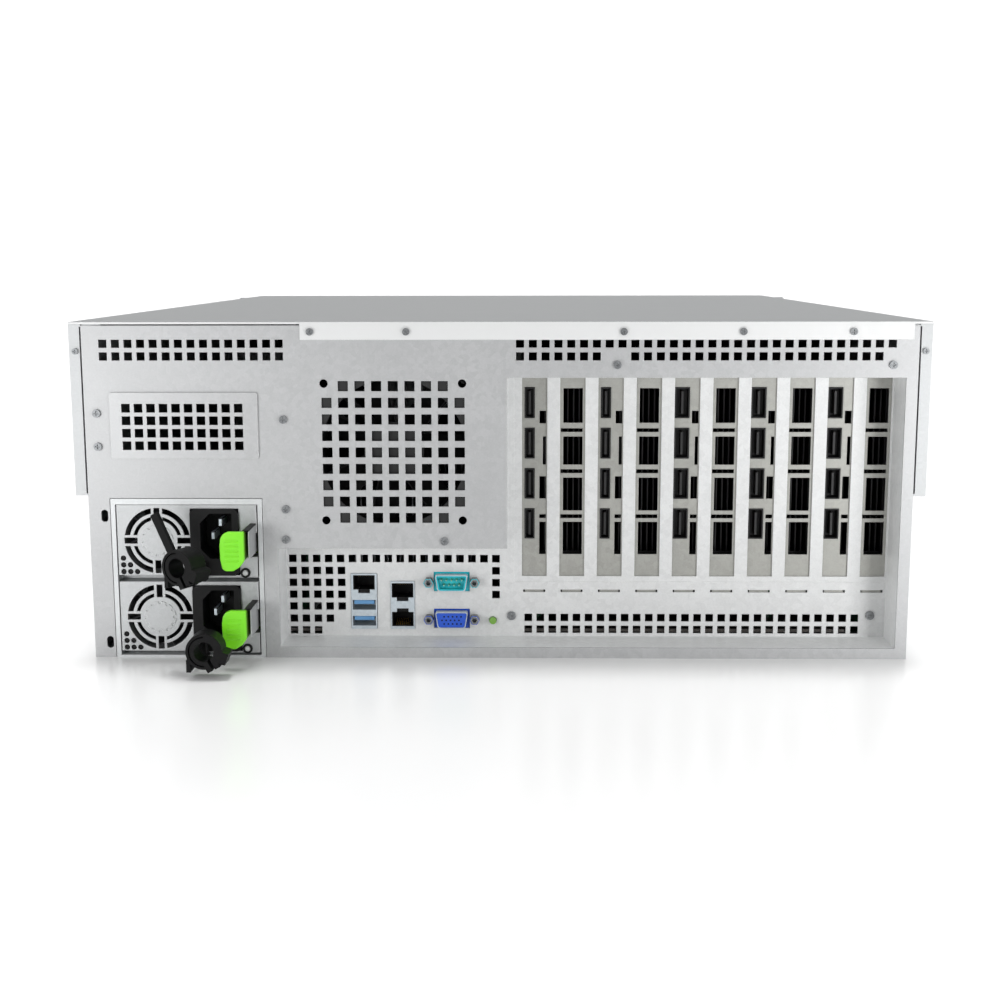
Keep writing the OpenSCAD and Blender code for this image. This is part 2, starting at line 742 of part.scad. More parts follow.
// Double-width bracket with four display ports and a column of air windows
module gpu_bracket(j) {
    c = slot_x + 2 * (j - 1) * slot_pitch;
    w = c + slot_pitch;
    upright(bracket_y, bracket_t) difference() {
        union() {
            area([c - 9.2, frame_foot - 2], [w + 9.2, bracket_top]);
            for (x = [c, w]) area([x - 5.1, 26], [x + 5.1, frame_foot - 1]);
        }
        for (z = port_rows)
            translate([c + port_off, z]) square([port_w(j) + 0.4, port_h + 0.4], center = true);
        for (z = [[122.3, 140.8], [99.8, 115], [74.9, 92.8], [50.9, 68.7]])
            area([w - 5, z[0]], [w + 5.4, z[1]]);
        for (z = [[117.4, 119.4], [95.2, 97.3], [70.7, 72.8]])
            area([w - 6.4, z[0]], [w + 5.4, z[1]]);
        for (z = [[122, 128.8], [81.4, 93.5], [70.7, 72.8], [50.9, 68.7]])
            area([c + 2.6, z[0]], [c + 6.2, z[1]]);
        area([c + 4.4, 99.8], [c + 6.2, 115]);
    }
    block([c - 9.2, back_y - 11, bracket_top], [w + 9.2, bracket_y + bracket_t, bracket_top + bracket_t]);
}

module gpu_brackets() color("#bfc2c3") for (j = [1 : 5]) gpu_bracket(j);

// Sockets of the display ports: each stands on its card's board, with a contact tongue
module display_ports() color("#2c2d30")
    for (j = [1 : 5], z = port_rows) {
        c = slot_x + 2 * (j - 1) * slot_pitch;
        w = port_w(j);
        x = c + port_off;
        difference() {
            union() {
                upright(bracket_y - 0.6, bracket_t + 0.6) translate([x, z])
                    square([w, port_h], center = true);
                block([c - 6, card_y, z - port_h / 2], [x + w / 2 + 0.4, card_y + port_d - 0.5, z + port_h / 2]);
            }
            upright(bracket_y - 1, 9) translate([x, z]) square([w - 1, port_h - 1], center = true);
        }
        block([x - 0.6, bracket_y, z - port_h / 2 + 2], [x + 0.6, card_y + 8, z + port_h / 2 - 2]);
    }

// ---------- Fan wall ----------

module fan_wall() color(galvanised) {
    upright(fan_wall_y - sheet, sheet) difference() {
        area([-half_w + sheet, sheet], [half_w - sheet, 140]);
        for (i = [-1 : 1]) translate([i * wall_fan_pitch, wall_fan_z]) circle(58);
        for (x = [-70.5, 70.5]) area([x - 6, 118], [x + 6, 134]);
    }
    block([-half_w + sheet, fan_wall_y - sheet - 12, sheet], [half_w - sheet, fan_wall_y - sheet, 2 * sheet]);
}

module fan_frames() color(black)
    for (i = [-1 : 1])
        translate([i * wall_fan_pitch, 0, wall_fan_z])
            fan_frame(wall_fan_w, fan_depth, fan_wall_y, 57.5, 22, 105);

module wall_rotor(i) color("#2a2a2c")
    translate([(i - 2) * wall_fan_pitch, fan_wall_y + 1.5, wall_fan_z]) fan_wheel(22, 56.6, 33, 7, 40);

module wall_rotor_1() wall_rotor(1);
module wall_rotor_2() wall_rotor(2);
module wall_rotor_3() wall_rotor(3);

// ---------- Front ----------

function bay_x(k) = (k - 2.5) * bay_pitch;

module front_panel() color(steel) upright(front_in, sheet) difference() {
    area([-half_w, 0], [half_w, lid_z]);
    for (k = [1 : 4]) area([bay_x(k) - 51.8, bay_z], [bay_x(k) + 51.8, bay_z + bay_h - 1]);
    for (i = [0 : 37], r = [0 : 4])
        translate([-203.5 + i * 10, 56 + r * 23]) soft_area([0, 0], [5, 18], 2.4);
    translate([197, 150]) circle(6.2);
}

module drive_cage() color(galvanised) {
    upright(cage_back, front_in - cage_back) difference() {
        area([-half_w + sheet, sheet], [half_w - sheet, bay_z + bay_h + 1]);
        for (k = [1 : 4]) area([bay_x(k) - 51.8, bay_z], [bay_x(k) + 51.8, bay_z + bay_h - 1]);
    }
}

module drive_backplane() color(board_green) {
    block([-208, cage_back - 1.6, 3], [208, cage_back, 44]);
    for (k = [1 : 4]) block([bay_x(k) - 16, cage_back, 8], [bay_x(k) + 16, cage_back + 5, 14]);
}

// Drive carrier: a front, two side rails, a cross bar and a low floor
module drive_tray(k) color(black) translate([bay_x(k), 0, bay_z + 0.8]) {
    back = front_y - tray_d;
    difference() {
        block([-tray_w / 2, front_y - 8, 0], [tray_w / 2, front_y + 2, tray_h]);
        // Recess that takes the lever, and air slots
        block([-tray_w / 2 + tray_rail, front_y - 4, 3], [tray_w / 2 - tray_rail, front_y + 3, 15]);
        for (i = [0 : 8]) block([-44 + i * 10, front_y - 9, 18], [-38 + i * 10, front_y + 3, 24]);
    }
    for (s = [-1, 1])
        block([min(s * tray_w / 2, s * (tray_w / 2 - tray_rail)), back, 0],
              [max(s * tray_w / 2, s * (tray_w / 2 - tray_rail)), front_y - 8, 16]);
    block([-tray_w / 2, back, 0], [tray_w / 2, back + 8, 2]);
    block([-tray_w / 2, front_y - 60, 0], [tray_w / 2, front_y - 8, 1.5]);
    rod_z(-tray_w / 2 + 6, front_y - 0.6, 3, 12, 1.2);
}

// Carrier lever on a pin at its left end, with a hooked grip at its right end
module tray_lever(k) color("#3a3b3e") translate([bay_x(k), 0, bay_z + 0.8]) {
    pin_x = -tray_w / 2 + 6;
    difference() {
        union() {
            rod_z(pin_x, front_y - 0.6, 3.3, 11.4, 2.4);
            block([pin_x, front_y - 1.8, 3.3], [tray_w / 2 - 4, front_y + 1.6, 14.7]);
        }
        rod_z(pin_x, front_y - 0.6, 3, 12, 1.25);
        block([tray_w / 2 - 22, front_y - 3, 3], [tray_w / 2 - 3, front_y - 0.4, 15]);
    }
}

module drive_tray_1() drive_tray(1);
module drive_tray_2() drive_tray(2);
module drive_tray_3() drive_tray(3);
module drive_tray_4() drive_tray(4);
module tray_lever_1() tray_lever(1);
module tray_lever_2() tray_lever(2);
module tray_lever_3() tray_lever(3);
module tray_lever_4() tray_lever(4);

module rack_ears() color(steel)
    for (s = [0, 1]) mirror([s, 0, 0]) {
        upright(front_y - ear_t, ear_t) difference() {
            soft_area([half_w + 0.2, 0.5], [ear_x, lid_z - 0.4], 2);
            for (z = [-1, 1]) translate([ear_hole_x, body_h / 2 + z * ear_hole_gap / 2])
                soft_area([-5, -3.4], [5, 3.4], 3.399);
        }
        block([half_w, front_y - 54, 0.8], [half_w + 2, front_y - ear_t, lid_z - 0.8]);
    }

// Bow handle: two feet, two round elbows and an upright grip
module ear_handles() color("#d0d2d3")
    for (s = [0, 1]) mirror([s, 0, 0]) {
        r = 3.5;
        bend = 8;
        x = half_w + 7;
        low = body_h / 2 - 36;
        high = body_h / 2 + 36;
        out = reach - r;
        for (z = [low, high]) rod_y(x, z, front_y, out - bend, r);
        rod_z(x, front_y + out, low + bend, high - low - 2 * bend, r);
        translate([x, front_y + out - bend, low + bend]) rotate([0, 90, 0])
            rotate_extrude(angle = 90) translate([bend, 0]) circle(r);
        translate([x, front_y + out - bend, high - bend]) rotate([0, 90, 0]) rotate(90)
            rotate_extrude(angle = 90) translate([bend, 0]) circle(r);
    }

module power_button() color("#d8dadb") {
    rod_y(197, 150, front_in - 3, 3 + sheet + 1.4, 6);
    rod_y(197, 150, front_in - 4.4, 1.4, 7.4);
}

chassis_tub();
rear_panel();
recess_frame();
io_panel();
slot_frame();
left_shoulder();
right_shoulder();
top_cover();
cover_screws();
rear_screws();
vent_cover();
rear_fan_frame();
rear_fan_rotor();
psu_cage();
psu_backplane();
upper_psu_case();
upper_psu_inlet();
upper_psu_rotor();
upper_psu_latch();
upper_cord_clamp();
lower_psu_case();
lower_psu_inlet();
lower_psu_rotor();
lower_psu_latch();
lower_cord_clamp();
motherboard();
lan_usb_stack();
twin_lan_stack();
com_port();
vga_port();
uid_button();
cpu_heatsinks();
memory_modules();
gpu_riser_board();
gpu_card_1();
gpu_card_2();
gpu_card_3();
gpu_card_4();
gpu_card_5();
gpu_brackets();
display_ports();
fan_wall();
fan_frames();
wall_rotor_1();
wall_rotor_2();
wall_rotor_3();
front_panel();
drive_cage();
drive_backplane();
drive_tray_1();
drive_tray_2();
drive_tray_3();
drive_tray_4();
tray_lever_1();
tray_lever_2();
tray_lever_3();
tray_lever_4();
rack_ears();
ear_handles();
power_button();
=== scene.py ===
import bpy
import bmesh
import math
from mathutils import Matrix, Vector


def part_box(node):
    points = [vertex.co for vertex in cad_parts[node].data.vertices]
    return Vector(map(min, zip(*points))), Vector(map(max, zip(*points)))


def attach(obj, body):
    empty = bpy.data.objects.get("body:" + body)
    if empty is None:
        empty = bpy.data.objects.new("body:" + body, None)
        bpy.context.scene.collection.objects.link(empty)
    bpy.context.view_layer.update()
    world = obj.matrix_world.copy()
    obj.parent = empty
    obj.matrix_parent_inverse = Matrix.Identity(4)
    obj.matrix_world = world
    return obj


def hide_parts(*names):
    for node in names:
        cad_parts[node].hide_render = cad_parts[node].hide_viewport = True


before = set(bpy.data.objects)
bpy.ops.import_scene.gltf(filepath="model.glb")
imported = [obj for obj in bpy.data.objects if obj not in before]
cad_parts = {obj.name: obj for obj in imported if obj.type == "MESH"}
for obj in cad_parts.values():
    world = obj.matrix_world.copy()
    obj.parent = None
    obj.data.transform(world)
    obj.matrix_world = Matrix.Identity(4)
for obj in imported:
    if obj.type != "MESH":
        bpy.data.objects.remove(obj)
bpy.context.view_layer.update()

MM = 0.001
REAR_FACE = -0.3  # plane of the rear panel's outer face


# ---------- Shader tools ----------

# How many of each pattern's features stand in a metre
SHEET_CLOUDS = 14.0  # patches about 70 mm across, left by rolling
SHEET_GRAIN = 1100.0  # grain of 0.9 mm, drawn coarser than the real one so that it shows
MOULD_CLOUDS = 90.0  # patches about 11 mm across, left by the flow of the plastic
BOARD_TRACKS = 160.0  # tracks about 6 mm apart
FOAM_CELLS = 480.0  # cells about 2 mm across
LENS_HAZE = 1500.0  # haze of 0.7 mm


def linear(hex_colour):
    """Turns an sRGB hex value into the linear colour that shaders use."""
    parts = [int(hex_colour[i:i + 2], 16) / 255 for i in (1, 3, 5)]
    return [p / 12.92 if p <= 0.04045 else ((p + 0.055) / 1.055) ** 2.4 for p in parts] + [1.0]


def add(tree, kind, settings=None, links=None):
    """Adds one node: settings are attributes or input values, links are input to output socket."""
    made = tree.nodes.new(kind)
    for key, value in (settings or {}).items():
        if isinstance(key, int) or key in made.inputs:
            made.inputs[key].default_value = value
        else:
            setattr(made, key, value)
    for key, source in (links or {}).items():
        tree.links.new(source, made.inputs[key])
    return made


def new_material(name):
    """An empty node material with its output; returns the material, its tree and the output."""
    mat = bpy.data.materials.new(name)
    mat.use_nodes = True
    mat.node_tree.nodes.clear()
    return mat, mat.node_tree, add(mat.node_tree, "ShaderNodeOutputMaterial")


def blend_colours(tree, first, second, factor):
    """Mixes two colours, each a hex value or a socket, by a socket's value."""
    mixed = add(tree, "ShaderNodeMix", {"data_type": "RGBA"})
    sockets = [s for s in mixed.inputs if s.type == "RGBA"]
    for socket, colour in zip(sockets, (first, second)):
        if isinstance(colour, str):
            socket.default_value = linear(colour)
        else:
            tree.links.new(colour, socket)
    tree.links.new(factor, mixed.inputs[0])
    return [s for s in mixed.outputs if s.type == "RGBA"][0]


def rounded_edges_and_highlight_mask(tree, radius_mm):
    """Rounded normals along the sheared edges, and a mask that is 1 on those edges, where the
    painted highlight goes.
    """
    rounded = add(tree, "ShaderNodeBevel", {"samples": 4, "Radius": radius_mm * MM})
    true = add(tree, "ShaderNodeNewGeometry")
    same = add(tree, "ShaderNodeVectorMath", {"operation": "DOT_PRODUCT"})
    tree.links.new(rounded.outputs["Normal"], same.inputs[0])
    tree.links.new(true.outputs["Normal"], same.inputs[1])
    mask = add(tree, "ShaderNodeMapRange", {"From Min": 0.995, "From Max": 0.8},
               {"Value": same.outputs["Value"]})
    return rounded.outputs["Normal"], mask.outputs["Result"]


def sheet_metal(name, colour, dark, edge, metallic=0.5, roughness=0.45,
                spangle_mm=2.5, round_mm=0.35, flange_colour=None):
    """Rolled sheet steel, plated with zinc, then sheared and punched. The eye sees a satin grey
    face with faint 2 to 3 mm crystals and fine grain, and a brighter painted highlight on its
    edges."""
    mat, tree, out = new_material(name)
    place = add(tree, "ShaderNodeTexCoord")
    crystals = add(tree, "ShaderNodeTexVoronoi",
                   {"Scale": 1 / (spangle_mm * MM), "Randomness": 1.0},
                   {"Vector": place.outputs["Object"]})
    broad = add(tree, "ShaderNodeTexNoise", {"Scale": SHEET_CLOUDS, "Detail": 2.0},
                {"Vector": place.outputs["Object"]})
    grain = add(tree, "ShaderNodeTexNoise", {"Scale": SHEET_GRAIN, "Detail": 2.0},
                {"Vector": place.outputs["Object"]})
    speck = add(tree, "ShaderNodeSeparateColor", None, {"Color": crystals.outputs["Color"]})
    tone = add(tree, "ShaderNodeMath", {"operation": "MULTIPLY_ADD"},
               {0: speck.outputs["Red"], 1: broad.outputs["Fac"], 2: grain.outputs["Fac"]})
    level = add(tree, "ShaderNodeMapRange", {"From Min": 0.35, "From Max": 1.15},
                {"Value": tone.outputs["Value"]})
    face = blend_colours(tree, dark, colour, level.outputs["Result"])
    if flange_colour:
        # The rear flange, before the rear face's plane, takes the lighter colour; the rest keeps
        # the darker main colour, which on the cover's roof is painted shade
        spot = add(tree, "ShaderNodeSeparateXYZ", None, {"Vector": place.outputs["Object"]})
        flange = add(tree, "ShaderNodeMath", {"operation": "LESS_THAN", 1: REAR_FACE + 0.02 * MM},
                     {0: spot.outputs["Y"]})
        face = blend_colours(tree, face, flange_colour, flange.outputs["Value"])
    normal, painted_highlight_mask = rounded_edges_and_highlight_mask(tree, round_mm)
    # The lighter edge colour laid along the sheared edges is a painted highlight
    tint = blend_colours(tree, face, edge, painted_highlight_mask)
    gloss = add(tree, "ShaderNodeMapRange",
                {"To Min": roughness - 0.06, "To Max": roughness + 0.08},
                {"Value": tone.outputs["Value"]})
    bump = add(tree, "ShaderNodeBump", {"Strength": 0.12, "Distance": 0.00004},
               {"Height": grain.outputs["Fac"], "Normal": normal})
    shader = add(tree, "ShaderNodeBsdfPrincipled", {"Metallic": metallic},
                 {"Base Color": tint, "Roughness": gloss.outputs["Result"],
                  "Normal": bump.outputs["Normal"]})
    tree.links.new(shader.outputs["BSDF"], out.inputs["Surface"])
    return mat


def moulded(name, colour, light, roughness, texture_mm=0.5, relief=0.25, specular=0.5,
            round_mm=0.4):
    """Injection-moulded plastic with a fine spark-eroded texture: near even colour, softly
    broken gloss, and a thin painted highlight along the moulded corners."""
    mat, tree, out = new_material(name)
    place = add(tree, "ShaderNodeTexCoord")
    broad = add(tree, "ShaderNodeTexNoise", {"Scale": MOULD_CLOUDS, "Detail": 2.0},
                {"Vector": place.outputs["Object"]})
    grit = add(tree, "ShaderNodeTexNoise", {"Scale": 1 / (texture_mm * MM), "Detail": 2.0},
               {"Vector": place.outputs["Object"]})
    normal, painted_highlight_mask = rounded_edges_and_highlight_mask(tree, round_mm)
    face = blend_colours(tree, colour, light, broad.outputs["Fac"])
    # The lighter colour laid along the corners is a painted highlight
    tint = blend_colours(tree, face, light, painted_highlight_mask)
    dents = add(tree, "ShaderNodeBump", {"Strength": relief, "Distance": 0.00006},
                {"Height": grit.outputs["Fac"], "Normal": normal})
    gloss = add(tree, "ShaderNodeMapRange",
                {"To Min": roughness - 0.06, "To Max": roughness + 0.06},
                {"Value": grit.outputs["Fac"]})
    shader = add(tree, "ShaderNodeBsdfPrincipled", {"Specular IOR Level": specular},
                 {"Base Color": tint, "Roughness": gloss.outputs["Result"],
                  "Normal": dents.outputs["Normal"]})
    tree.links.new(shader.outputs["BSDF"], out.inputs["Surface"])
    return mat


def circuit_board(name, mask, copper):
    """Solder mask over copper tracks: a glossy dark face with lighter track lines."""
    mat, tree, out = new_material(name)
    place = add(tree, "ShaderNodeTexCoord")
    tracks = add(tree, "ShaderNodeTexVoronoi", {"feature": "DISTANCE_TO_EDGE",
                 "distance": "EUCLIDEAN", "Scale": BOARD_TRACKS},
                 {"Vector": place.outputs["Object"]})
    line = add(tree, "ShaderNodeMapRange", {"From Min": 0.09, "From Max": 0.05},
               {"Value": tracks.outputs["Distance"]})
    tint = blend_colours(tree, mask, copper, line.outputs["Result"])
    raised = add(tree, "ShaderNodeBump", {"Strength": 0.2, "Distance": 0.00005},
                 {"Height": line.outputs["Result"]})
    shader = add(tree, "ShaderNodeBsdfPrincipled", {"Roughness": 0.32},
                 {"Base Color": tint, "Normal": raised.outputs["Normal"]})
    tree.links.new(shader.outputs["BSDF"], out.inputs["Surface"])
    return mat


def filter_foam(name):
    """Reticulated polyurethane foam, 2 mm cells: a dull charcoal net with pores painted near black
    as painted shade in the openings.
    """
    mat, tree, out = new_material(name)
    place = add(tree, "ShaderNodeTexCoord")
    cells = add(tree, "ShaderNodeTexVoronoi", {"feature": "DISTANCE_TO_EDGE",
                "Scale": FOAM_CELLS}, {"Vector": place.outputs["Object"]})
    pore = add(tree, "ShaderNodeMapRange", {"From Min": 0.02, "From Max": 0.25},
               {"Value": cells.outputs["Distance"]})
    # The near black in the pores is painted shade
    tint = blend_colours(tree, "#202123", "#050505", pore.outputs["Result"])
    dents = add(tree, "ShaderNodeBump", {"Strength": 0.8, "Distance": 0.0004, "invert": True},
                {"Height": pore.outputs["Result"]})
    shader = add(tree, "ShaderNodeBsdfPrincipled", {"Roughness": 0.95, "Specular IOR Level": 0.1},
                 {"Base Color": tint, "Normal": dents.outputs["Normal"]})
    tree.links.new(shader.outputs["BSDF"], out.inputs["Surface"])
    return mat


def light_lens(name, colour):
    """Clear acrylic light pipe: a small glossy window over a dim diode."""
    mat, tree, out = new_material(name)
    place = add(tree, "ShaderNodeTexCoord")
    haze = add(tree, "ShaderNodeTexNoise", {"Scale": LENS_HAZE},
               {"Vector": place.outputs["Object"]})
    tint = blend_colours(tree, colour, "#FFFFFF", haze.outputs["Fac"])
    shader = add(tree, "ShaderNodeBsdfPrincipled", {"Roughness": 0.12, "IOR": 1.49,
                 "Coat Weight": 0.5, "Transmission Weight": 0.35}, {"Base Color": tint})
    tree.links.new(shader.outputs["BSDF"], out.inputs["Surface"])
    return mat


# ---------- Materials ----------

# Hot-dip galvanised sheet, folded: a pale satin grey with faint crystals. The pieces of the
# recess, the tub and the shoulders are lighter copies of the panel's steel: painted light against
# the shade in the recess and near the floor, and for the brighter ends.
panel_steel = sheet_metal("zinc_coated_panel_steel", "#BABBBC", "#AEAFB0", "#E4E6E7")
inner_steel = sheet_metal("zinc_coated_recess_steel", "#D9DADA", "#CDCECE", "#F0F1F1", 0.3)
recess_steel = sheet_metal("zinc_coated_recess_wall_steel", "#F0F1F1", "#E5E6E6", "#FAFAFA", 0.25)
edge_steel = sheet_metal("zinc_coated_shoulder_steel", "#BEC0C1", "#B3B5B6", "#E0E1E2", 0.4)
tub_steel = sheet_metal("zinc_coated_tub_steel", "#D2D4D5", "#C4C7C8", "#F0F1F2")
# The same sheet, a mid grey roof over a pale rear lip: the roof's darker grey is painted shade on
# the top face
cover_steel = sheet_metal("painted_cover_steel", "#8A8C8D", "#7F8182", "#A9ABAC", 0.25, 0.5,
                          flange_colour="#DBDCDC")
# Nickel and tin plate on thin pressed steel: smoother and a little glossier than the sheet
vent_steel = sheet_metal("bright_vent_steel", "#B7B8B9", "#ACADAE", "#EEEFEF", 0.5, 0.4)
case_steel = sheet_metal("nickel_plated_case_steel", "#B6B8B9", "#A9ABAC", "#EDEEEE", 0.5, 0.38)
socket_steel = sheet_metal("tin_plated_socket_steel", "#C9D2D8", "#B8C2C9", "#EEF2F5",
                           0.6, 0.34, 1.5, 0.15)
bracket_steel = sheet_metal("nickel_plated_bracket_steel", "#A5A5A0", "#989893", "#CECEC9",
                            0.5, 0.4)
screw_steel = sheet_metal("zinc_plated_screw_steel", "#8A8C8E", "#6F7274", "#C4C6C8",
                          0.7, 0.35, 1.0, 0.2)
# Extruded aluminium and flashed gold: the brightest metals, with tight highlights
fin_aluminium = sheet_metal("extruded_aluminium", "#CDCFD1", "#C0C2C4", "#EEEFF0", 0.8, 0.34)
gold = sheet_metal("gold_flashed_contact", "#E8C36A", "#D8AF52", "#F6DD9A", 0.95, 0.25, 1.0, 0.1)
# Moulded black and dark grey plastics: near black faces, told apart by how they shine
black_abs = moulded("black_abs", "#070708", "#161618", 0.36)
black_pbt = moulded("black_pbt", "#030304", "#0B0B0C", 0.55, specular=0.25)
clamp_nylon = moulded("black_clamp_nylon", "#030303", "#0A0A0B", 0.5, specular=0.18)
fan_black = moulded("black_glass_filled_nylon", "#0B0B0C", "#161617", 0.5)
psu_fan_grey = moulded("dark_fan_nylon", "#1B1B1D", "#2A2A2D", 0.45)
grey_abs = moulded("dark_grey_abs", "#1D1E20", "#2D2E31", 0.5)
card_shroud = moulded("black_card_shroud_abs", "#09090A", "#151517", 0.45)
port_shell = moulded("display_port_shell_pbt", "#0B0B0C", "#1A1A1B", 0.45)
# Coloured plastics of the latches, connectors and button: even, saturated and half glossy
latch_green = moulded("lime_nylon", "#70DA0C", "#8CEB2A", 0.34)
# The latch stem is the same lime plastic as the pad, given a darker olive as painted shade
latch_stem_painted_shade = moulded("olive_nylon", "#3A5A10", "#557A1E", 0.45, specular=0.3)
teal_plastic = moulded("teal_pbt", "#12B6C4", "#2CCFDC", 0.4)
blue_plastic = moulded("blue_pbt", "#1445B2", "#2359CE", 0.4)
usb_blue = moulded("usb_blue_pbt", "#4F86B8", "#6C9FCB", 0.4)
button_green = moulded("green_button_pc", "#5C8A34", "#7FB04C", 0.3)
# Glass-fibre boards under solder mask, open foam and acrylic light pipes
board_green = circuit_board("green_solder_mask", "#0F3D27", "#1C5A38")
board_brown = circuit_board("brown_black_solder_mask", "#2B2724", "#3C3733")
dust_foam = filter_foam("charcoal_filter_foam")
clear_lens = light_lens("clear_acrylic_lens", "#E9ECEC")
green_lens = light_lens("green_acrylic_lens", "#7FD87F")
amber_lens = light_lens("amber_acrylic_lens", "#E7B45E")

FINISH = {
    "top_cover": cover_steel, "chassis_tub": tub_steel, "psu_cage": tub_steel,
    "fan_wall": tub_steel, "drive_cage": tub_steel, "vent_cover": vent_steel,
    "recess_frame": recess_steel, "io_panel": inner_steel, "slot_frame": inner_steel,
    "left_shoulder": edge_steel, "right_shoulder": edge_steel,
    "gpu_brackets": bracket_steel, "upper_psu_case": case_steel, "lower_psu_case": case_steel,
    "cover_screws": screw_steel, "rear_screws": screw_steel,
    "lan_usb_stack": socket_steel, "twin_lan_stack": socket_steel, "ear_handles": fin_aluminium,
    "cpu_heatsinks": fin_aluminium, "power_button": fin_aluminium, "com_port": teal_plastic,
    "vga_port": blue_plastic, "uid_button": button_green, "motherboard": board_brown,
    "memory_modules": board_green, "gpu_riser_board": board_green, "psu_backplane": board_green,
    "drive_backplane": board_green, "display_ports": port_shell,
}
BY_WORD = (("latch", latch_green), ("inlet", black_pbt), ("clamp", clamp_nylon),
           ("psu_rotor", psu_fan_grey), ("rotor", fan_black), ("frames", fan_black),
           ("fan_frame", fan_black), ("tray_lever", grey_abs), ("tray", black_abs),
           ("gpu_card", card_shroud))


def finish_of(name):
    """The material of a CAD node, by its name or by a word in it."""
    if name in FINISH:
        return FINISH[name]
    for word, mat in BY_WORD:
        if word in name:
            return mat
    return panel_steel


for node_name, node_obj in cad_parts.items():
    node_obj.data.materials.clear()
    node_obj.data.materials.append(finish_of(node_name))


# ---------- Mesh tools ----------

def settle(name, mesh, mat, body, replaced=None):
    """Makes a finished piece at the origin that rides on a body."""
    obj = bpy.data.objects.new(name, mesh)
    bpy.context.collection.objects.link(obj)
    if mat:
        mesh.materials.clear()
        mesh.materials.append(mat)
    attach(obj, body)
    if replaced:
        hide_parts(replaced)
    return obj


def to_mesh(name, bm, smooth=False):
    """Cleans a bmesh and turns it into a mesh with outward faces."""
    bmesh.ops.remove_doubles(bm, verts=bm.verts, dist=1e-7)
    bmesh.ops.recalc_face_normals(bm, faces=bm.faces)
    mesh = bpy.data.meshes.new(name)
    bm.to_mesh(mesh)
    bm.free()
    if smooth:
        mesh.shade_smooth()
    return mesh


def keep(name, bm, mat, body, replaced=None, smooth=False):
    """Makes a finished piece straight from a bmesh."""
    return settle(name, to_mesh(name, bm, smooth), mat, body, replaced)


def corners(node):
    """The lowest and highest corners of a CAD node at rest."""
    return [Vector(corner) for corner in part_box(node)]


def middle(low, high):
    return (low + high) / 2


def add_slab(bm, outline, y0, y1, radius=0.0, steps=2):
    """Adds an outline of x and z, in metres, extruded from y0 to y1, with rounded edges."""
    front = [bm.verts.new((x, y0, z)) for x, z in outline]
    back = [bm.verts.new((x, y1, z)) for x, z in outline]
    count = len(outline)
    faces = [bm.faces.new(front), bm.faces.new(list(reversed(back)))]
    for i in range(count):
        j = (i + 1) % count
        faces.append(bm.faces.new((front[j], front[i], back[i], back[j])))
    if radius:
        edges = {e for f in faces for e in f.edges}
        bmesh.ops.bevel(bm, geom=list(edges), offset=radius, segments=steps, affect="EDGES",
                        profile=0.5, clamp_overlap=True)


def rectangle(x0, z0, x1, z1):
    """The outline of an upright rectangle."""
    return [(x0, z0), (x1, z0), (x1, z1), (x0, z1)]


def add_block(bm, low, high, radius=0.0, steps=2):
    """Adds a block with rounded edges between two corners, in metres."""
    add_slab(bm, rectangle(low[0], low[2], high[0], high[2]), low[1], high[1], radius, steps)


def add_turned(bm, centre, profile, steps=32):
    """Adds a closed shape turned round the y axis from pairs of radius and depth."""
    rings = []
    for radius, depth in profile:
        if radius == 0:
            rings.append([bm.verts.new((centre[0], centre[1] + depth, centre[2]))])
            continue
        rings.append([bm.verts.new((centre[0] + radius * math.cos(2 * math.pi * i / steps),
                                    centre[1] + depth,
                                    centre[2] + radius * math.sin(2 * math.pi * i / steps)))
                      for i in range(steps)])
    for a, b in zip(rings, rings[1:]):
        for i in range(steps):
            j = (i + 1) % steps
            ring = [a[i % len(a)], a[j % len(a)], b[j % len(b)], b[i % len(b)]]
            unique = list(dict.fromkeys(ring))
            if len(unique) > 2:
                bm.faces.new(unique)


# ---------- Geometry Nodes ----------

def new_tree(name, inputs):
    """A geometry tree with named inputs; returns it with its input and output nodes."""
    tree = bpy.data.node_groups.new(name, "GeometryNodeTree")
    tree.interface.new_socket(name="Places", in_out="INPUT", socket_type="NodeSocketGeometry")
    for label, kind in inputs:
        tree.interface.new_socket(name=label, in_out="INPUT", socket_type="NodeSocket" + kind)
    tree.interface.new_socket(name="Geometry", in_out="OUTPUT", socket_type="NodeSocketGeometry")
    return tree, tree.nodes.new("NodeGroupInput"), tree.nodes.new("NodeGroupOutput")


def close_tree(tree, given, out, shape, turn=None):
    """Sets a shape on every place, makes it real and gives it the finish."""
    placed = add(tree, "GeometryNodeInstanceOnPoints", None,
                 {"Points": given.outputs["Places"], "Instance": shape})
    if turn:
        spin = add(tree, "FunctionNodeEulerToRotation", None, {"Euler": turn})
        tree.links.new(spin.outputs["Rotation"], placed.inputs["Rotation"])
    real = add(tree, "GeometryNodeRealizeInstances", None,
               {"Geometry": placed.outputs["Instances"]})
    done = add(tree, "GeometryNodeSetMaterial", None,
               {"Geometry": real.outputs["Geometry"], "Material": given.outputs["Finish"]})
    tree.links.new(done.outputs["Geometry"], out.inputs["Geometry"])


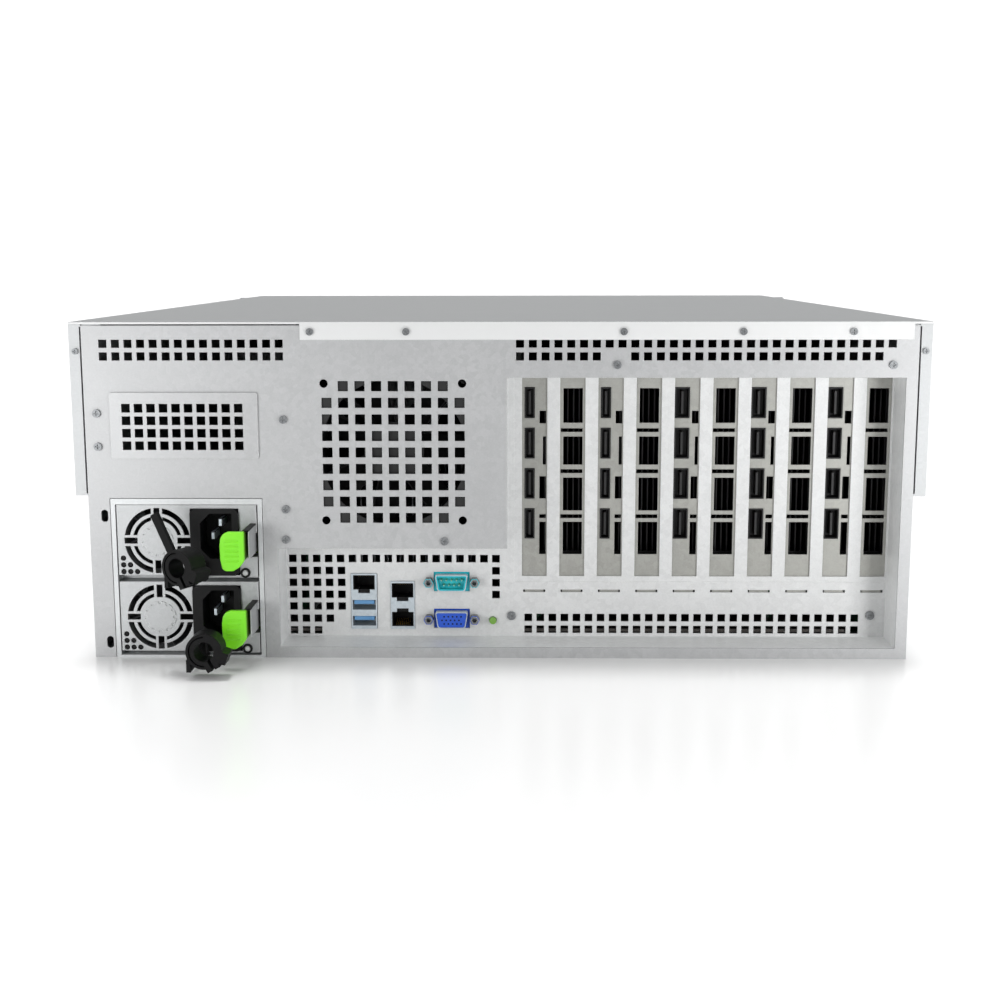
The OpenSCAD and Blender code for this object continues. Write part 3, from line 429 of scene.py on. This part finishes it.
def turned_tree():
    """A short round part on every place: a straight wall and a shoulder that narrows above it."""
    tree, given, out = new_tree("turned_parts", (("Radius", "Float"), ("Top Radius", "Float"),
                                ("Height", "Float"), ("Shoulder", "Float"), ("Sides", "Int"),
                                ("Turn", "Vector"), ("Finish", "Material")))
    wall = add(tree, "GeometryNodeMeshCone", {"Fill Segments": 1}, {
        "Vertices": given.outputs["Sides"], "Radius Top": given.outputs["Radius"],
        "Radius Bottom": given.outputs["Radius"], "Depth": given.outputs["Height"]})
    top = add(tree, "GeometryNodeMeshCone", {"Fill Segments": 1}, {
        "Vertices": given.outputs["Sides"], "Radius Top": given.outputs["Top Radius"],
        "Radius Bottom": given.outputs["Radius"], "Depth": given.outputs["Shoulder"]})
    rise = add(tree, "ShaderNodeCombineXYZ", None, {"Z": given.outputs["Height"]})
    lifted = add(tree, "GeometryNodeTransform", None,
                 {"Geometry": top.outputs["Mesh"], "Translation": rise.outputs["Vector"]})
    both = add(tree, "GeometryNodeJoinGeometry")
    tree.links.new(wall.outputs["Mesh"], both.inputs["Geometry"])
    tree.links.new(lifted.outputs["Geometry"], both.inputs["Geometry"])
    close_tree(tree, given, out, both.outputs["Geometry"], given.outputs["Turn"])
    return tree


def strip_tree():
    """A thin flat strip on every place, such as a spring contact."""
    tree, given, out = new_tree("contact_strips", (("Width", "Float"), ("Length", "Float"),
                                ("Thickness", "Float"), ("Turn", "Vector"), ("Finish", "Material")))
    size = add(tree, "ShaderNodeCombineXYZ", None, {"X": given.outputs["Width"],
               "Y": given.outputs["Length"], "Z": given.outputs["Thickness"]})
    strip = add(tree, "GeometryNodeMeshCube", {"Vertices Y": 3}, {"Size": size.outputs["Vector"]})
    close_tree(tree, given, out, strip.outputs["Mesh"], given.outputs["Turn"])
    return tree


TURNED = turned_tree()
STRIPS = strip_tree()


def scatter(name, tree, places, body, slot, **inputs):
    """Runs a geometry tree on a list of places and keeps the result as a plain piece."""
    carrier = bpy.data.objects.new(name + "_places", bpy.data.meshes.new(name + "_places"))
    carrier.data.from_pydata(places, [], [])
    bpy.context.collection.objects.link(carrier)
    modifier = carrier.modifiers.new("parts", "NODES")
    modifier.node_group = tree
    for item in tree.interface.items_tree:
        key = item.name.replace(" ", "_").lower()
        if item.item_type == "SOCKET" and item.in_out == "INPUT" and key in inputs:
            modifier[item.identifier] = inputs[key]
    depsgraph = bpy.context.evaluated_depsgraph_get()
    mesh = bpy.data.meshes.new_from_object(carrier.evaluated_get(depsgraph), depsgraph=depsgraph)
    mesh.name = name
    bpy.data.objects.remove(carrier)
    return settle(name, mesh, None, body)


# ---------- Ports on the rear plate ----------

LAN_USB, TWIN_LAN = corners("lan_usb_stack"), corners("twin_lan_stack")
COM, VGA = corners("com_port"), corners("vga_port")
CONTACT_PITCH = 1.02 * MM  # spacing of the springs in a network jack
D_DROP = 5.8 * MM  # middle of a D connector under the top of its housing
# Middle of each network jack across and up, and 1 where its notch is at the top
JACKS = [(middle(LAN_USB[0].x, LAN_USB[1].x), LAN_USB[1].z - 4.8 * MM, -1),
         (middle(TWIN_LAN[0].x, TWIN_LAN[1].x), TWIN_LAN[1].z - 5 * MM, -1),
         (middle(TWIN_LAN[0].x, TWIN_LAN[1].x), TWIN_LAN[0].z + 5.5 * MM, 1)]


def jack_liners():
    """Black liners of the network jacks, with the comb that guides their gold springs."""
    bm = bmesh.new()
    half_w, half_h, wall, soft = 5.85 * MM, 3.95 * MM, 0.5 * MM, 0.08 * MM
    y0, y1 = LAN_USB[0].y + 0.3 * MM, LAN_USB[0].y + 12.8 * MM
    for x, z, up in JACKS:
        far, near = z - up * half_h, z + up * half_h
        # Side walls, then the wall away from the notch and the two lips beside it
        for s in (-1, 1):
            edge = x + s * half_w
            add_block(bm, (min(edge, edge - s * wall), y0, z - half_h),
                      (max(edge, edge - s * wall), y1, z + half_h), soft, 1)
        add_block(bm, (x - half_w, y0, min(far, far + up * wall)),
                  (x + half_w, y1, max(far, far + up * wall)), soft, 1)
        for s in (-1, 1):
            a, b = sorted((x + s * 3.2 * MM, x + s * half_w))
            add_block(bm, (a, y0, min(near, near - up * wall)),
                      (b, y1, max(near, near - up * wall)), soft, 1)
        # Back, then the block behind the notch for the plug's tab
        add_block(bm, (x - half_w, y1 - 0.6 * MM, z - half_h),
                  (x + half_w, y1, z + half_h), 0.1 * MM, 1)
        add_block(bm, (x - 3.15 * MM, y0 + 0.9 * MM, min(near, near + up * 1.95 * MM)),
                  (x + 3.15 * MM, y1, max(near, near + up * 1.95 * MM)), 0.1 * MM, 1)
        for i in range(9):
            tooth = x + (i - 4) * CONTACT_PITCH
            add_block(bm, (tooth - 0.18 * MM, y0 + 6 * MM, min(far, far + up * 1.6 * MM)),
                      (tooth + 0.18 * MM, y1, max(far, far + up * 1.6 * MM)))
    keep("jack_liners", bm, black_pbt, "chassis")
    springs = {1: [], -1: []}
    for x, z, up in JACKS:
        springs[up] += [(x + (i - 3.5) * CONTACT_PITCH, y0 + 5.2 * MM, z - up * 2.4 * MM)
                        for i in range(8)]
    for up, places in springs.items():
        scatter("jack_contacts_" + ("low" if up > 0 else "high"), STRIPS, places, "chassis",
                "bright_steel", width=0.42 * MM, length=7.5 * MM, thickness=0.25 * MM,
                turn=(up * math.radians(14), 0, 0), finish=gold)


def usb_tongues():
    """Blue tongues in the two USB sockets, each with four contacts."""
    bm = bmesh.new()
    x = middle(LAN_USB[0].x, LAN_USB[1].x)
    front = LAN_USB[0].y
    places = []
    for z in (LAN_USB[0].z + 14.7 * MM, LAN_USB[0].z + 5.8 * MM):
        add_block(bm, (x - 5.5 * MM, front + 0.9 * MM, z - 1.1 * MM),
                  (x + 5.5 * MM, front + 12.5 * MM, z + 1.1 * MM), 0.25 * MM)
        places += [(x + (i - 1.5) * 2.3 * MM, front + 5 * MM, z - 1.14 * MM) for i in range(4)]
    keep("usb_tongues", bm, usb_blue, "chassis")
    scatter("usb_contacts", STRIPS, places, "chassis", "bright_steel", width=1.0 * MM,
            length=7 * MM, thickness=0.12 * MM, turn=(0, 0, 0), finish=gold)


def d_outline(x, z, grow):
    """The D of a serial or video connector, grown outwards, with its corners rounded."""
    top, low, tall, rounding = 8.4 + grow, 7 + grow, 4 + grow, 1.3
    sharp = [(-top, tall), (top, tall), (low, -tall), (-low, -tall)]
    points = []
    for i, corner in enumerate(sharp):
        a, b, c = Vector(sharp[i - 1]), Vector(corner), Vector(sharp[(i + 1) % 4])
        start, end = b + (a - b).normalized() * rounding, b + (c - b).normalized() * rounding
        for t in (0, 0.25, 0.5, 0.75, 1):
            p = start * (1 - t) ** 2 + b * 2 * t * (1 - t) + end * t ** 2
            points.append((x + p.x * MM, z + p.y * MM))
    return points


def d_shell(bm, x, z, front, depth):
    """A drawn tin-plated shell round a connector: a thin D tube."""
    outer, inner = d_outline(x, z, 0.5), d_outline(x, z, 0.06)
    count = len(outer)
    levels = [(outer, front), (outer, front + depth), (inner, front + depth), (inner, front)]
    rings = [[bm.verts.new((px, y, pz)) for px, pz in ring] for ring, y in levels]
    for k in range(4):
        a, b = rings[k], rings[(k + 1) % 4]
        for i in range(count):
            j = (i + 1) % count
            bm.faces.new((a[i], a[j], b[j], b[i]))


def d_connectors():
    """Plated shells, hexagonal jack screws and contacts of the serial and video ports."""
    shells = bmesh.new()
    screws = []
    for low, high in (COM, VGA):
        x, z = middle(low.x, high.x), high.z - D_DROP
        d_shell(shells, x, z, low.y - 0.2 * MM, 5 * MM)
        screws += [(x + s * 12.5 * MM, low.y + 5 * MM, z) for s in (-1, 1)]
    keep("connector_shells", shells, socket_steel, "chassis")
    bm = bmesh.new()
    hexagon = [(2.78 * MM, 0), (2.78 * MM, -4.6 * MM), (2.3 * MM, -5.1 * MM),
               (1.35 * MM, -5.1 * MM), (1.28 * MM, -1.2 * MM), (0, -1.2 * MM)]
    for place in screws:
        add_turned(bm, place, hexagon, 6)
    keep("jack_screws", bm, screw_steel, "chassis")
    # Nine pins in rows of five and four
    x, z, y = middle(COM[0].x, COM[1].x), COM[1].z - D_DROP, COM[0].y + 0.9 * MM
    pins = [(x + (-5.5 + (i % 5) * 2.75 + (1.4 if i > 4 else 0)) * MM, y + 4.4 * MM,
             z + (-1.4 if i > 4 else 1.4) * MM) for i in range(9)]
    scatter("serial_pins", TURNED, pins, "chassis", "bright_steel", radius=0.56 * MM,
            top_radius=0.2 * MM, height=4.1 * MM, shoulder=0.5 * MM, sides=12,
            turn=(math.pi / 2, 0, 0), finish=gold)
    # Fifteen holes in three rows, the middle one shifted, drawn as black discs of painted shade
    x, z, y = middle(VGA[0].x, VGA[1].x), VGA[1].z - D_DROP, VGA[0].y
    holes = [(x + (c - 2 + (0.25, -0.25, 0.25)[r]) * 2.3 * MM, y + 0.5 * MM, z + (1 - r) * 2 * MM)
             for r in range(3) for c in range(5)]
    scatter("video_contact_holes", TURNED, holes, "chassis", "black_plastic", radius=0.5 * MM,
            top_radius=0.42 * MM, height=0.5 * MM, shoulder=0.06 * MM, sides=12,
            turn=(math.pi / 2, 0, 0), finish=black_pbt)


# ---------- Power supplies ----------

LIGHT_X, LIGHT_UP = -133.6 * MM, 3.5 * MM  # status light across, and above the case's bottom
INLET_X, INLET_UP = -148.2, 23.2  # middle of the inlet in mm, likewise
VENT_PITCH = 3.6  # spacing of the round corner vents in mm


def power_supply_details(side):
    """Status light, inlet pins and black discs in the corner vents of one module, as painted shade
    in the vent holes.
    """
    body = side + "_psu"
    case = corners(body + "_case")[0]
    z = case.z
    light = (LIGHT_X, REAR_FACE, z + LIGHT_UP)
    bm = bmesh.new()
    add_turned(bm, light, [(0, 0.4 * MM), (2.6 * MM, 0.4 * MM), (2.6 * MM, -0.9 * MM),
                           (2.2 * MM, -1.3 * MM), (1.7 * MM, -1.3 * MM), (1.5 * MM, -0.7 * MM),
                           (0, -0.7 * MM)])
    keep(side + "_light_ring", bm, black_pbt, body)
    bm = bmesh.new()
    add_turned(bm, light, [(0, -0.6 * MM), (1.45 * MM, -0.6 * MM), (1.4 * MM, -0.95 * MM),
                           (0.9 * MM, -1.25 * MM), (0, -1.35 * MM)])
    keep(side + "_light_lens", bm, clear_lens, body, smooth=True)
    bm = bmesh.new()
    for dx, dz in ((2, 7), (2, -7), (-2, 0)):
        x, h = (INLET_X + dx) * MM, z + (INLET_UP + dz) * MM
        add_block(bm, (x - 1.06 * MM, REAR_FACE + 0.45 * MM, h - 2.06 * MM),
                  (x + 1.06 * MM, REAR_FACE + 15 * MM, h + 2.06 * MM), 0.45 * MM)
    keep(side + "_inlet_pins", bm, socket_steel, body)
    # Black discs set into the round corner vents are painted shade for their depths
    vents = [(case.x + (2.6 + c * VENT_PITCH) * MM, REAR_FACE + 3.6 * MM,
              z + (4 + r * VENT_PITCH) * MM) for c in range(3) for r in range(3 - c)]
    scatter(side + "_corner_vent_depths", TURNED, vents, body, "black_plastic", radius=1.42 * MM,
            top_radius=1.0 * MM, height=2.9 * MM, shoulder=0.2 * MM, sides=16,
            turn=(math.pi / 2, 0, 0), finish=black_pbt)


def latch(side):
    """Release latch: a rounded thumb pad on a stem that swings on its hinge barrel, with the
    spring strip that holds it and the dark cap over both."""
    name = side + "_psu_latch"
    body = side + "_latch"
    low, high = corners(name)
    mid = middle(high.z, low.z + 0.6 * MM)
    barrel_r, pin_r, barrel_half = 2.4, 1.27, 6.2
    hinge_x, hinge_y = high.x - barrel_r * MM, high.y - barrel_r * MM
    left, wide = low.x, (hinge_x - low.x) / MM
    pad = [(0, 4), (0.3, 7), (1.6, 9.2), (4, 10.5), (wide, 10.5), (wide, -4.5), (wide - 2.2, -7.6),
           (6.6, -9.9), (2.6, -9.9), (0.9, -8.6), (0.2, -4)]
    bm = bmesh.new()
    add_slab(bm, [(left + x * MM, mid + z * MM) for x, z in pad], low.y, low.y + 3 * MM,
             0.7 * MM, 3)
    # Grip ribs across the pad
    for i in range(5):
        h = mid + (5.6 - i * 2.6) * MM
        add_block(bm, (left + 2.6 * MM, low.y - 0.35 * MM, h - 0.45 * MM),
                  (left + 9.6 * MM, low.y + 0.5 * MM, h + 0.45 * MM), 0.3 * MM)
    keep(side + "_latch_pad", bm, latch_green, body, name)
    bm = bmesh.new()
    stem = [(wide - 1.8, 10.5), (wide, 10.5), (wide, -4.5), (wide - 1.8, -6.4)]
    add_slab(bm, [(left + x * MM, mid + z * MM) for x, z in stem], low.y + 2.6 * MM,
             low.y + 20 * MM, 0.3 * MM)
    add_block(bm, (hinge_x - 2 * MM, low.y + 18 * MM, mid - barrel_half * MM),
              (hinge_x, hinge_y, mid + barrel_half * MM), 0.3 * MM)
    # Barrel round the hinge pin
    profile = ((pin_r, -barrel_half), (barrel_r, -barrel_half), (barrel_r, barrel_half),
               (pin_r, barrel_half))
    steps = 24
    rings = [[bm.verts.new((hinge_x + r * MM * math.cos(2 * math.pi * i / steps),
                            hinge_y + r * MM * math.sin(2 * math.pi * i / steps), mid + h * MM))
              for i in range(steps)] for r, h in profile]
    for k in range(4):
        for i in range(steps):
            j = (i + 1) % steps
            bm.faces.new((rings[k][i], rings[k][j], rings[(k + 1) % 4][j], rings[(k + 1) % 4][i]))
    # The stem's darker olive is painted shade
    keep(side + "_latch_stem", bm, latch_stem_painted_shade, body)
    bm = bmesh.new()
    strip = [(1.35, 10), (1.85, 10), (1.85, -4.6), (1.35, -4.6)]
    add_slab(bm, [(hinge_x + x * MM, mid + z * MM) for x, z in strip], low.y + 5 * MM,
             hinge_y - 3 * MM, 0.12 * MM, 1)
    keep(side + "_latch_spring", bm, case_steel, body)
    bm = bmesh.new()
    cap = [(-1, 10.9), (2.1, 10.9), (2.1, 10), (-1, 10)]
    add_slab(bm, [(hinge_x + x * MM, mid + z * MM) for x, z in cap], low.y + 3.2 * MM,
             hinge_y - 4 * MM, 0.2 * MM, 1)
    keep(side + "_latch_cap", bm, clamp_nylon, body)


# ---------- Front and inside ----------

def air_filter():
    """Foam filter in a thin wire frame behind the front panel's slots."""
    back = corners("front_panel")[0].y
    left, right, bottom, top, wire = -0.2085, 0.1875, 0.0505, 0.1705, 1.5 * MM
    foam_y = back - 6.2 * MM
    bm = bmesh.new()
    add_block(bm, (left, foam_y, bottom), (right, back - 0.2 * MM, top), 1.2 * MM, 3)
    keep("air_filter_foam", bm, dust_foam, "chassis")
    bm = bmesh.new()
    wire_y = back - 7.6 * MM
    for x in (left, -0.0775, 0.0555, 0.186):
        add_block(bm, (x, wire_y, bottom), (x + wire, foam_y, top), 0.5 * MM)
    for h in (bottom, 0.11, 0.169):
        add_block(bm, (left, wire_y, h), (right, foam_y, h + wire), 0.5 * MM)
    keep("air_filter_frame", bm, screw_steel, "chassis")


def rivet_rows():
    """Flush rivets along the side walls and the shoulders."""
    # Half width of the wall, rivets in a row, the first one's place, spacing and both heights
    rows = ((-corners("chassis_tub")[0].x, 9, -0.285, 0.0665, (0.012, 0.074)),
            (-corners("left_shoulder")[0].x, 8, -0.288, 0.0745, (0.1, 0.168)))
    for side, sign in (("left", -1), ("right", 1)):
        places = [(sign * (half - 0.05 * MM), first + i * pitch, h)
                  for half, count, first, pitch, heights in rows
                  for i in range(count) for h in heights]
        scatter(side + "_rivets", TURNED, places, "chassis", "screw_steel", radius=1.9 * MM,
                top_radius=1.1 * MM, height=0.3 * MM, shoulder=0.3 * MM, sides=16,
                turn=(0, sign * math.pi / 2, 0), finish=screw_steel)


def board_parts():
    """Capacitors, chokes and headers on the motherboard, clear of the coolers."""
    top = 9.5 * MM
    first = -0.104
    cans = [(first + i * 0.011, y, top) for y in (-0.232, -0.0665, 0.041) for i in range(8)]
    scatter("board_capacitors", TURNED, cans, "chassis", "aluminium", radius=3.1 * MM,
            top_radius=2.6 * MM, height=7 * MM, shoulder=0.5 * MM, sides=20, turn=(0, 0, 0),
            finish=fin_aluminium)
    bm = bmesh.new()
    for i in range(7):
        x = first + i * 0.0125
        add_block(bm, (x, -0.2475, top), (x + 9 * MM, -0.2385, top + 6 * MM), 0.8 * MM)
    for i in range(4):
        add_block(bm, (-0.009, -0.19 + i * 0.05, top), (-0.003, -0.155 + i * 0.05, top + 7 * MM),
                  0.5 * MM)
    add_block(bm, (-0.006, 0.02, top), (0.002, 0.054, top + 10 * MM), 0.6 * MM)
    add_block(bm, (0.03, -0.2, top), (0.058, -0.172, top + 3 * MM), 0.5 * MM)
    keep("board_chokes", bm, grey_abs, "chassis")


def front_lights():
    """Light pipes: three beside the power button and two on each drive carrier."""
    low, high = corners("power_button")
    x, face = middle(low.x, high.x), corners("front_panel")[1].y
    lamps = [(x, face - 0.4 * MM, high.z - 27 * MM - i * 11 * MM) for i in range(3)]
    scatter("panel_light_pipes", TURNED, lamps, "chassis", "bright_steel", radius=2.0 * MM,
            top_radius=1.4 * MM, height=1.0 * MM, shoulder=0.5 * MM, sides=20,
            turn=(-math.pi / 2, 0, 0), finish=green_lens)
    for k in (1, 2, 3, 4):
        tray = "drive_tray_%d" % k
        high = corners(tray)[1]
        places = [(high.x - 3.2 * MM, high.y - 0.2 * MM, high.z - dz * MM) for dz in (3.4, 8.4)]
        scatter(tray + "_light_pipes", TURNED, places, "tray_%d" % k, "bright_steel",
                radius=1.1 * MM, top_radius=0.8 * MM, height=0.1 * MM, shoulder=0.1 * MM, sides=16,
                turn=(-math.pi / 2, 0, 0), finish=amber_lens)


jack_liners()
usb_tongues()
d_connectors()
for module in ("upper", "lower"):
    power_supply_details(module)
    latch(module)
air_filter()
rivet_rows()
board_parts()
front_lights()


# ---------- Floor, light and camera ----------

SKY_DIM, SKY_BRIGHT = 0.55, 1.35  # strength of the room and of the backdrop
FLOOR_HALF = 30  # half the floor's side in metres


def studio():
    """A white acrylic table before a bright backdrop, in a dimmer room."""
    mesh = bpy.data.meshes.new("studio_floor")
    f = FLOOR_HALF
    mesh.from_pydata([(-f, -f, 0), (f, -f, 0), (f, f, 0), (-f, f, 0)], [], [(0, 1, 2, 3)])
    floor = bpy.data.objects.new("studio_floor", mesh)
    bpy.context.collection.objects.link(floor)
    mat, tree, out = new_material("white_acrylic_floor")
    shader = add(tree, "ShaderNodeBsdfPrincipled", {"Base Color": linear("#F8F8F8"),
                 "Roughness": 0.22, "Specular IOR Level": 0.5})
    tree.links.new(shader.outputs["BSDF"], out.inputs["Surface"])
    mesh.materials.append(mat)
    world = bpy.data.worlds.new("studio_sky")
    world.use_nodes = True
    sky = world.node_tree
    sky.nodes.clear()
    way = add(sky, "ShaderNodeSeparateXYZ", None,
              {"Vector": add(sky, "ShaderNodeTexCoord").outputs["Generated"]})
    # White backdrop behind the object, a dimmer room above it and behind the camera
    ahead = add(sky, "ShaderNodeMapRange", {"From Min": -0.1, "From Max": 0.7,
                "interpolation_type": "SMOOTHSTEP"}, {"Value": way.outputs["Y"]})
    level = add(sky, "ShaderNodeMapRange", {"From Min": 0.6, "From Max": 0.3,
                "interpolation_type": "SMOOTHSTEP"}, {"Value": way.outputs["Z"]})
    both = add(sky, "ShaderNodeMath", {"operation": "MULTIPLY"},
               {0: ahead.outputs["Result"], 1: level.outputs["Result"]})
    power = add(sky, "ShaderNodeMapRange", {"To Min": SKY_DIM, "To Max": SKY_BRIGHT},
                {"Value": both.outputs["Value"]})
    glow = add(sky, "ShaderNodeBackground", {"Color": (1, 1, 1, 1)},
               {"Strength": power.outputs["Result"]})
    add(sky, "ShaderNodeOutputWorld", None, {"Surface": glow.outputs["Background"]})
    bpy.context.scene.world = world


def soft_box(name, place, aim, watts):
    """A small square area light that looks at a point."""
    lamp = bpy.data.lights.new(name, "AREA")
    lamp.size = 0.2
    lamp.energy = watts
    obj = bpy.data.objects.new(name, lamp)
    obj.location = place
    obj.rotation_euler = (Vector(aim) - Vector(place)).to_track_quat("-Z", "Y").to_euler()
    bpy.context.collection.objects.link(obj)


def overhead(strength, lean, spread):
    """A high, soft key light from a little behind, which leaves a soft shadow before the rear."""
    lamp = bpy.data.lights.new("overhead", "SUN")
    lamp.energy = strength
    lamp.angle = math.radians(spread)
    obj = bpy.data.objects.new("overhead", lamp)
    obj.rotation_euler = (-math.radians(lean), 0, 0)
    bpy.context.collection.objects.link(obj)


def camera():
    """Rear view from just above the cover, a little right of the middle."""
    data = bpy.data.cameras.new("rear_view")
    data.sensor_width = 36
    data.lens = 56.46
    data.shift_y = 0.04
    data.clip_end = 100
    obj = bpy.data.objects.new("rear_view", data)
    place = Matrix.Translation((0.0148, -1.1087, 0.208))
    yaw, pitch, roll = (math.radians(a) for a in (1.006, 10.119, 0.084))
    turn = Matrix.Rotation(yaw, 4, "Z") @ Matrix.Rotation(math.pi / 2 - pitch, 4, "X")
    obj.matrix_world = place @ turn @ Matrix.Rotation(-roll, 4, "Z")
    bpy.context.collection.objects.link(obj)
    bpy.context.scene.camera = obj


studio()
soft_box("right_box", (0.43, -0.74, 0.11), (0.2, REAR_FACE, 0.02), 1.15)
soft_box("left_box", (-0.42, -0.74, 0.11), (-0.2, REAR_FACE, 0.02), 0.88)
overhead(strength=1.55, lean=8.0, spread=14.0)
camera()

bpy.context.scene.view_settings.view_transform = "Standard"
